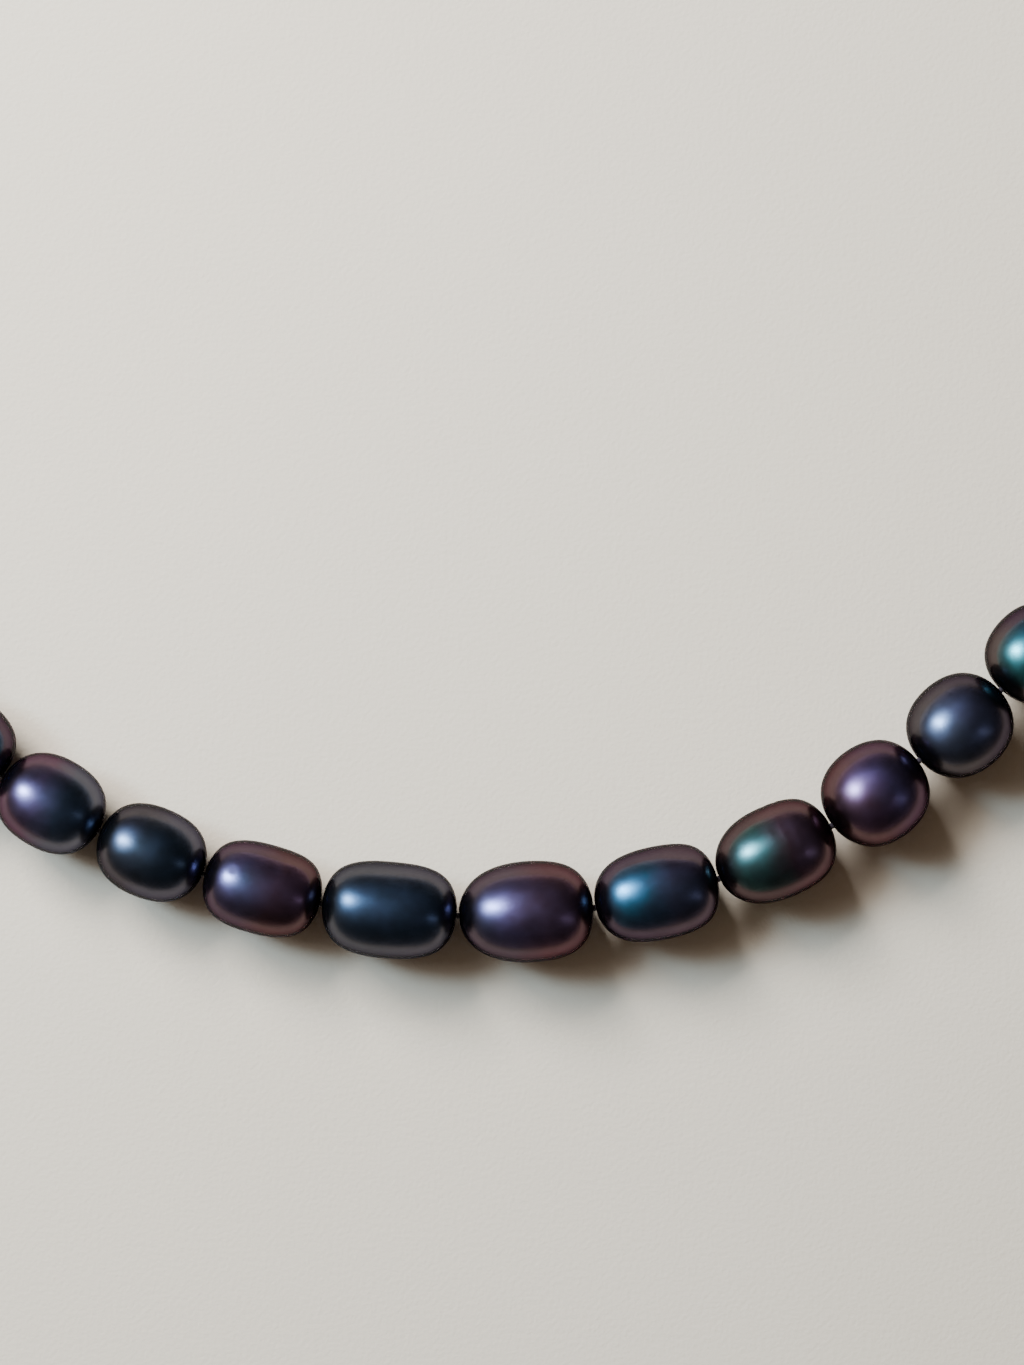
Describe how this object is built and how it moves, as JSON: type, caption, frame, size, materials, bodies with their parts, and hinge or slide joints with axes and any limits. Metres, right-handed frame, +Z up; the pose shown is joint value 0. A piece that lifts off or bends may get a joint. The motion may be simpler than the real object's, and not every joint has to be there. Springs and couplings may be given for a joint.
{
  "type": "pearl necklace",
  "caption": "Strand of dark oval and barrel pearls threaded end to end on one thread, with crimped end loops, a lobster clasp and an end ring, laid down open as a ring.",
  "frame": {"origin": "under the middle of the laid strand, on the surface that it lies on", "axes": "+Z up, -Y towards the front pearl, +Y towards the clasp"},
  "size_m": [0.14, 0.1486, 0.0086],
  "materials": {
    "pearl_violet": "near-mirror nacre",
    "pearl_charcoal": "near-mirror nacre",
    "pearl_aubergine": "near-mirror nacre",
    "pearl_slate": "near-mirror nacre",
    "pearl_blue_green": "near-mirror nacre",
    "pearl_teal": "near-mirror nacre",
    "silver_fitting": "bright silver",
    "silver_ring": "bright silver",
    "silver_clasp": "polished silver",
    "spring_steel": "drawn strip",
    "thread": "waxed beading thread"
  },
  "bodies": {
    "pearl_21": {"pearl_21": "pearl_aubergine", "bead_thread": "thread"},
    "pearl_01": {"pearl_01": "pearl_violet"},
    "pearl_02": {"pearl_02": "pearl_slate"},
    "pearl_03": {"pearl_03": "pearl_charcoal"},
    "pearl_04": {"pearl_04": "pearl_aubergine"},
    "pearl_05": {"pearl_05": "pearl_blue_green"},
    "pearl_06": {"pearl_06": "pearl_teal"},
    "pearl_07": {"pearl_07": "pearl_slate"},
    "pearl_08": {"pearl_08": "pearl_aubergine"},
    "pearl_09": {"pearl_09": "pearl_charcoal"},
    "pearl_10": {"pearl_10": "pearl_blue_green"},
    "pearl_11": {"pearl_11": "pearl_slate"},
    "pearl_12": {"pearl_12": "pearl_violet"},
    "pearl_13": {"pearl_13": "pearl_teal"},
    "pearl_14": {"pearl_14": "pearl_aubergine"},
    "pearl_15": {"pearl_15": "pearl_teal"},
    "pearl_16": {"pearl_16": "pearl_blue_green"},
    "pearl_17": {"pearl_17": "pearl_violet"},
    "pearl_18": {"pearl_18": "pearl_charcoal"},
    "pearl_19": {"pearl_19": "pearl_aubergine"},
    "pearl_20": {"pearl_20": "pearl_slate"},
    "pearl_22": {"pearl_22": "pearl_blue_green"},
    "pearl_23": {"pearl_23": "pearl_teal"},
    "pearl_24": {"pearl_24": "pearl_aubergine"},
    "pearl_25": {"pearl_25": "pearl_charcoal"},
    "pearl_26": {"pearl_26": "pearl_teal"},
    "pearl_27": {"pearl_27": "pearl_slate"},
    "pearl_28": {"pearl_28": "pearl_blue_green"},
    "pearl_29": {"pearl_29": "pearl_aubergine"},
    "pearl_30": {"pearl_30": "pearl_violet"},
    "pearl_31": {"pearl_31": "pearl_teal"},
    "pearl_32": {"pearl_32": "pearl_slate"},
    "pearl_33": {"pearl_33": "pearl_charcoal"},
    "pearl_34": {"pearl_34": "pearl_teal"},
    "pearl_35": {"pearl_35": "pearl_aubergine"},
    "pearl_36": {"pearl_36": "pearl_blue_green"},
    "pearl_37": {"pearl_37": "pearl_teal"},
    "pearl_38": {"pearl_38": "pearl_slate"},
    "pearl_39": {"pearl_39": "pearl_charcoal"},
    "pearl_40": {"pearl_40": "pearl_aubergine"},
    "pearl_41": {"pearl_41": "pearl_violet"},
    "pearl_42": {"pearl_42": "pearl_teal"},
    "fitting_left": {"crimp_tube_left": "silver_fitting", "crimp_cover_left": "silver_fitting", "wire_guard_left": "silver_fitting"},
    "fitting_right": {"crimp_tube_right": "silver_fitting", "crimp_cover_right": "silver_fitting", "wire_guard_right": "silver_fitting"},
    "jump_ring": {"jump_ring": "silver_ring"},
    "clasp": {"clasp_body": "silver_clasp", "clasp_rivet": "silver_clasp", "lever_spring": "spring_steel"},
    "lever": {"clasp_lever": "silver_clasp"},
    "end_ring": {"end_ring": "silver_ring"}
  },
  "joints": [
    {"name": "bend_21_20", "type": "hinge", "parent": "pearl_21", "child": "pearl_20", "pos_m": [0.00024, -0.07035, 0.00428], "axis": [0, 0, 1], "range_deg": [0, 13.36], "deforming": ["bead_thread"]},
    {"name": "bend_20_19", "type": "hinge", "parent": "pearl_20", "child": "pearl_19", "pos_m": [-0.01096, -0.06936, 0.00408], "axis": [0, 0, 1], "range_deg": [0, 14.18], "deforming": ["bead_thread"]},
    {"name": "bend_19_18", "type": "hinge", "parent": "pearl_19", "child": "pearl_18", "pos_m": [-0.02061, -0.06692, 0.004], "axis": [0, 0, 1], "range_deg": [0, 13.05], "deforming": ["bead_thread"]},
    {"name": "bend_18_17", "type": "hinge", "parent": "pearl_18", "child": "pearl_17", "pos_m": [-0.02917, -0.06342, 0.00405], "axis": [0, 0, 1], "range_deg": [0, 12.53], "deforming": ["bead_thread"]},
    {"name": "bend_17_16", "type": "hinge", "parent": "pearl_17", "child": "pearl_16", "pos_m": [-0.03711, -0.05887, 0.00408], "axis": [0, 0, 1], "range_deg": [0, 16.79], "deforming": ["bead_thread"]},
    {"name": "bend_16_15", "type": "hinge", "parent": "pearl_16", "child": "pearl_15", "pos_m": [-0.04433, -0.05247, 0.00405], "axis": [0, 0, 1], "range_deg": [0, 11.3], "deforming": ["bead_thread"]},
    {"name": "bend_15_14", "type": "hinge", "parent": "pearl_15", "child": "pearl_14", "pos_m": [-0.05073, -0.04538, 0.00408], "axis": [0, 0, 1], "range_deg": [0, 12.91], "deforming": ["bead_thread"]},
    {"name": "bend_14_13", "type": "hinge", "parent": "pearl_14", "child": "pearl_13", "pos_m": [-0.05622, -0.03732, 0.0041], "axis": [0, 0, 1], "range_deg": [0, 12.61], "deforming": ["bead_thread"]},
    {"name": "bend_13_12", "type": "hinge", "parent": "pearl_13", "child": "pearl_12", "pos_m": [-0.0604, -0.02896, 0.00405], "axis": [0, 0, 1], "range_deg": [0, 12.73], "deforming": ["bead_thread"]},
    {"name": "bend_12_11", "type": "hinge", "parent": "pearl_12", "child": "pearl_11", "pos_m": [-0.06381, -0.01898, 0.00405], "axis": [0, 0, 1], "range_deg": [0, 12.8], "deforming": ["bead_thread"]},
    {"name": "bend_11_10", "type": "hinge", "parent": "pearl_11", "child": "pearl_10", "pos_m": [-0.06572, -0.00921, 0.0041], "axis": [0, 0, 1], "range_deg": [0, 12.03], "deforming": ["bead_thread"]},
    {"name": "bend_10_09", "type": "hinge", "parent": "pearl_10", "child": "pearl_09", "pos_m": [-0.06634, -0.00048, 0.00408], "axis": [0, 0, 1], "range_deg": [0, 11.84], "deforming": ["bead_thread"]},
    {"name": "bend_09_08", "type": "hinge", "parent": "pearl_09", "child": "pearl_08", "pos_m": [-0.06587, 0.00906, 0.00398], "axis": [0, 0, 1], "range_deg": [0, 12.39], "deforming": ["bead_thread"]},
    {"name": "bend_08_07", "type": "hinge", "parent": "pearl_08", "child": "pearl_07", "pos_m": [-0.06408, 0.01905, 0.00398], "axis": [0, 0, 1], "range_deg": [0, 12.33], "deforming": ["bead_thread"]},
    {"name": "bend_07_06", "type": "hinge", "parent": "pearl_07", "child": "pearl_06", "pos_m": [-0.06132, 0.02777, 0.004], "axis": [0, 0, 1], "range_deg": [0, 12.31], "deforming": ["bead_thread"]},
    {"name": "bend_06_05", "type": "hinge", "parent": "pearl_06", "child": "pearl_05", "pos_m": [-0.05723, 0.03662, 0.00395], "axis": [0, 0, 1], "range_deg": [0, 12.56], "deforming": ["bead_thread"]},
    {"name": "bend_05_04", "type": "hinge", "parent": "pearl_05", "child": "pearl_04", "pos_m": [-0.05222, 0.04451, 0.00388], "axis": [0, 0, 1], "range_deg": [0, 12.69], "deforming": ["bead_thread"]},
    {"name": "bend_04_03", "type": "hinge", "parent": "pearl_04", "child": "pearl_03", "pos_m": [-0.04607, 0.05182, 0.00385], "axis": [0, 0, 1], "range_deg": [0, 12.83], "deforming": ["bead_thread"]},
    {"name": "bend_03_02", "type": "hinge", "parent": "pearl_03", "child": "pearl_02", "pos_m": [-0.03927, 0.05795, 0.00385], "axis": [0, 0, 1], "range_deg": [0, 12.79], "deforming": ["bead_thread"]},
    {"name": "bend_02_01", "type": "hinge", "parent": "pearl_02", "child": "pearl_01", "pos_m": [-0.03188, 0.06299, 0.00378], "axis": [0, 0, 1], "range_deg": [0, 12.71], "deforming": ["bead_thread"]},
    {"name": "bend_21_22", "type": "hinge", "parent": "pearl_21", "child": "pearl_22", "pos_m": [0.01147, -0.0697, 0.00423], "axis": [0, 0, -1], "range_deg": [0, 14.78], "deforming": ["bead_thread"]},
    {"name": "bend_22_23", "type": "hinge", "parent": "pearl_22", "child": "pearl_23", "pos_m": [0.02165, -0.06733, 0.00408], "axis": [0, 0, -1], "range_deg": [0, 17.05], "deforming": ["bead_thread"]},
    {"name": "bend_23_24", "type": "hinge", "parent": "pearl_23", "child": "pearl_24", "pos_m": [0.03093, -0.06298, 0.00425], "axis": [0, 0, -1], "range_deg": [0, 16.74], "deforming": ["bead_thread"]},
    {"name": "bend_24_25", "type": "hinge", "parent": "pearl_24", "child": "pearl_25", "pos_m": [0.03808, -0.05761, 0.00438], "axis": [0, 0, -1], "range_deg": [0, 8.82], "deforming": ["bead_thread"]},
    {"name": "bend_25_26", "type": "hinge", "parent": "pearl_25", "child": "pearl_26", "pos_m": [0.04479, -0.05184, 0.00423], "axis": [0, 0, -1], "range_deg": [0, 10.89], "deforming": ["bead_thread"]},
    {"name": "bend_26_27", "type": "hinge", "parent": "pearl_26", "child": "pearl_27", "pos_m": [0.05053, -0.04577, 0.0041], "axis": [0, 0, -1], "range_deg": [0, 13.64], "deforming": ["bead_thread"]},
    {"name": "bend_27_28", "type": "hinge", "parent": "pearl_27", "child": "pearl_28", "pos_m": [0.05586, -0.03809, 0.00408], "axis": [0, 0, -1], "range_deg": [0, 12.86], "deforming": ["bead_thread"]},
    {"name": "bend_28_29", "type": "hinge", "parent": "pearl_28", "child": "pearl_29", "pos_m": [0.06054, -0.02886, 0.0041], "axis": [0, 0, -1], "range_deg": [0, 12.82], "deforming": ["bead_thread"]},
    {"name": "bend_29_30", "type": "hinge", "parent": "pearl_29", "child": "pearl_30", "pos_m": [0.06373, -0.01964, 0.00408], "axis": [0, 0, -1], "range_deg": [0, 12.36], "deforming": ["bead_thread"]},
    {"name": "bend_30_31", "type": "hinge", "parent": "pearl_30", "child": "pearl_31", "pos_m": [0.06567, -0.01029, 0.00405], "axis": [0, 0, -1], "range_deg": [0, 12.11], "deforming": ["bead_thread"]},
    {"name": "bend_31_32", "type": "hinge", "parent": "pearl_31", "child": "pearl_32", "pos_m": [0.06642, -0.00097, 0.00403], "axis": [0, 0, -1], "range_deg": [0, 12.37], "deforming": ["bead_thread"]},
    {"name": "bend_32_33", "type": "hinge", "parent": "pearl_32", "child": "pearl_33", "pos_m": [0.06592, 0.00936, 0.004], "axis": [0, 0, -1], "range_deg": [0, 12.47], "deforming": ["bead_thread"]},
    {"name": "bend_33_34", "type": "hinge", "parent": "pearl_33", "child": "pearl_34", "pos_m": [0.06423, 0.01876, 0.00405], "axis": [0, 0, -1], "range_deg": [0, 11.9], "deforming": ["bead_thread"]},
    {"name": "bend_34_35", "type": "hinge", "parent": "pearl_34", "child": "pearl_35", "pos_m": [0.06168, 0.02703, 0.00403], "axis": [0, 0, -1], "range_deg": [0, 12.1], "deforming": ["bead_thread"]},
    {"name": "bend_35_36", "type": "hinge", "parent": "pearl_35", "child": "pearl_36", "pos_m": [0.05768, 0.03592, 0.00395], "axis": [0, 0, -1], "range_deg": [0, 12.54], "deforming": ["bead_thread"]},
    {"name": "bend_36_37", "type": "hinge", "parent": "pearl_36", "child": "pearl_37", "pos_m": [0.05275, 0.04387, 0.0039], "axis": [0, 0, -1], "range_deg": [0, 12.84], "deforming": ["bead_thread"]},
    {"name": "bend_37_38", "type": "hinge", "parent": "pearl_37", "child": "pearl_38", "pos_m": [0.04641, 0.05153, 0.0039], "axis": [0, 0, -1], "range_deg": [0, 12.98], "deforming": ["bead_thread"]},
    {"name": "bend_38_39", "type": "hinge", "parent": "pearl_38", "child": "pearl_39", "pos_m": [0.03965, 0.0577, 0.0039], "axis": [0, 0, -1], "range_deg": [0, 12.95], "deforming": ["bead_thread"]},
    {"name": "bend_39_40", "type": "hinge", "parent": "pearl_39", "child": "pearl_40", "pos_m": [0.03194, 0.06299, 0.00385], "axis": [0, 0, -1], "range_deg": [0, 13.15], "deforming": ["bead_thread"]},
    {"name": "bend_40_41", "type": "hinge", "parent": "pearl_40", "child": "pearl_41", "pos_m": [0.02374, 0.06705, 0.0038], "axis": [0, 0, -1], "range_deg": [0, 13.13], "deforming": ["bead_thread"]},
    {"name": "bend_41_42", "type": "hinge", "parent": "pearl_41", "child": "pearl_42", "pos_m": [0.01524, 0.06984, 0.00375], "axis": [0, 0, -1], "range_deg": [0, 12.98], "deforming": ["bead_thread"]},
    {"name": "bend_01_fitting", "type": "hinge", "parent": "pearl_01", "child": "fitting_left", "pos_m": [-0.02423, 0.06682, 0.00373], "axis": [0, 0, 1], "range_deg": [0, 11.09], "deforming": ["bead_thread"]},
    {"name": "jump_ring_swing", "type": "hinge", "parent": "fitting_left", "child": "jump_ring", "pos_m": [-0.01932, 0.06865, 0.00223], "axis": [0, 0, 1], "range_deg": [-45, 45]},
    {"name": "clasp_swing", "type": "hinge", "parent": "jump_ring", "child": "clasp", "pos_m": [-0.01606, 0.06962, 0.00223], "axis": [0, 0, 1], "range_deg": [-45, 45]},
    {"name": "lever_press", "type": "hinge", "parent": "clasp", "child": "lever", "pos_m": [-0.01257, 0.07112, 0.00204], "axis": [-0.0497, -0.0083, -0.9987], "range_deg": [0, 18], "stiffness_Nm_per_rad": 0.003, "springref_deg": -5.73, "deforming": ["lever_spring"]},
    {"name": "bend_42_fitting", "type": "hinge", "parent": "pearl_42", "child": "fitting_right", "pos_m": [0.00683, 0.07136, 0.00373], "axis": [0, 0, -1], "range_deg": [0, 11.37], "deforming": ["bead_thread"]},
    {"name": "end_ring_swing", "type": "hinge", "parent": "fitting_right", "child": "end_ring", "pos_m": [0.0015, 0.07171, 0.00263], "axis": [0, 0, 1], "range_deg": [-45, 45]}
  ]
}
